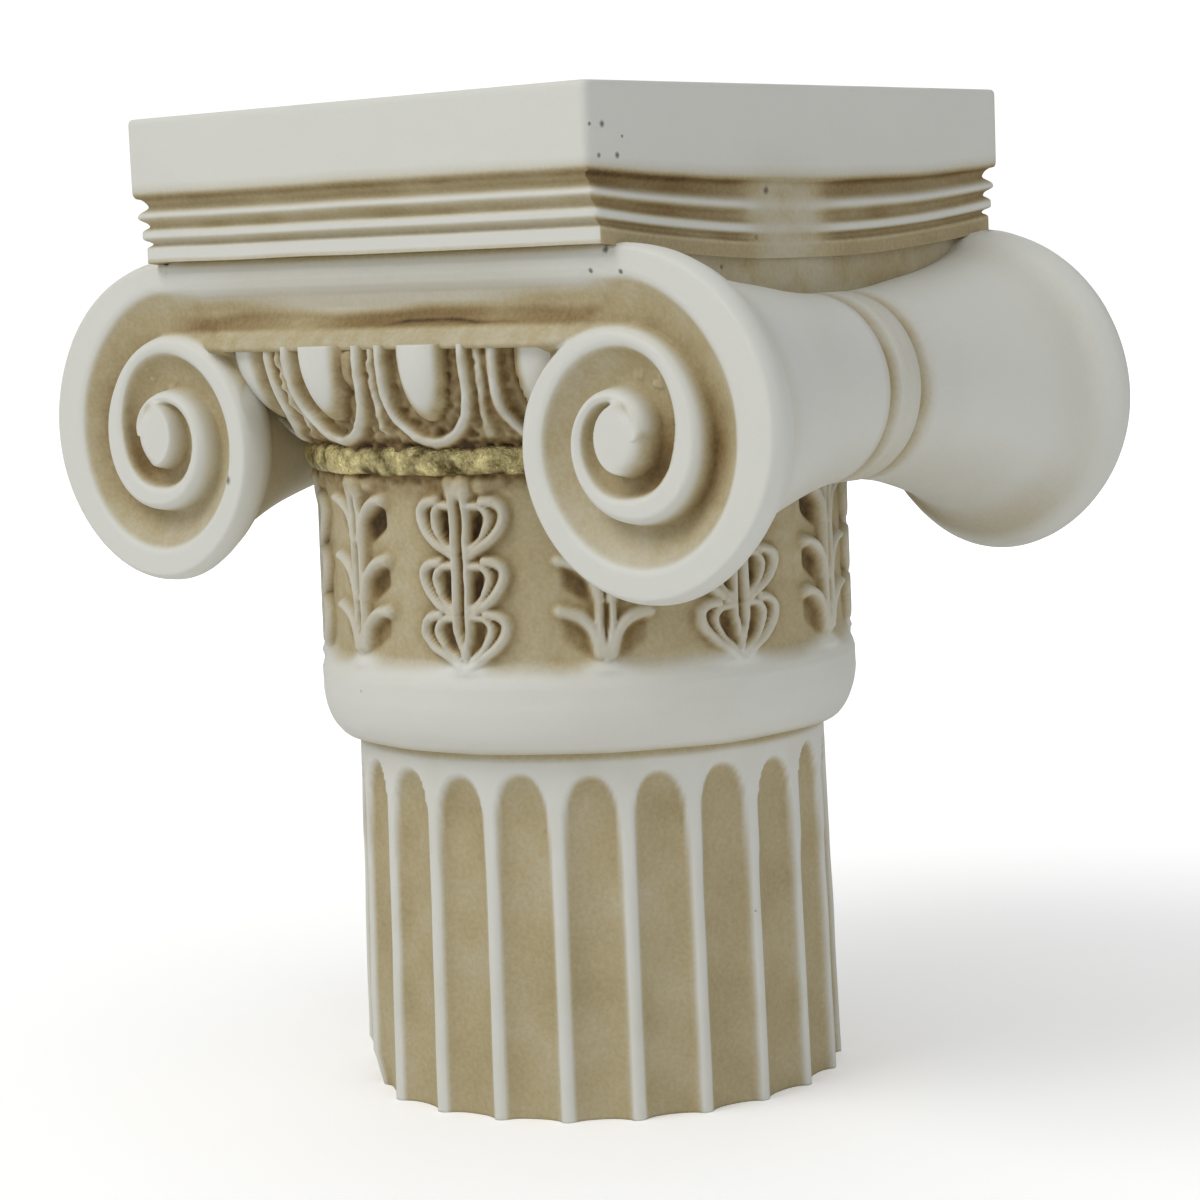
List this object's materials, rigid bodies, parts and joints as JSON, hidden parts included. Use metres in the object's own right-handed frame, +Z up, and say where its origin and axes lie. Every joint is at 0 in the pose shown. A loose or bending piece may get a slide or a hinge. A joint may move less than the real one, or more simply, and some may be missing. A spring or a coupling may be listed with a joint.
{
  "type": "ionic column capital",
  "caption": "Ionic capital on a short fluted shaft: square abacus, scrolled volutes with rolled bolsters, egg-and-dart, palmette necking and a gilt ring, cast in one piece.",
  "frame": {"origin": "centre of the flat underside of the shaft", "axes": "+Z up along the shaft, the faces with the eggs look to -Y and +Y, the bolster sides look to -X and +X"},
  "size_m": [0.1262, 0.0848, 0.13],
  "materials": {
    "cast_stone": "matt off-white cast stone, khaki wash in the hollows, gold paint on the ring"
  },
  "bodies": {
    "root": {"ionic_column": "cast_stone"}
  },
  "joints": []
}
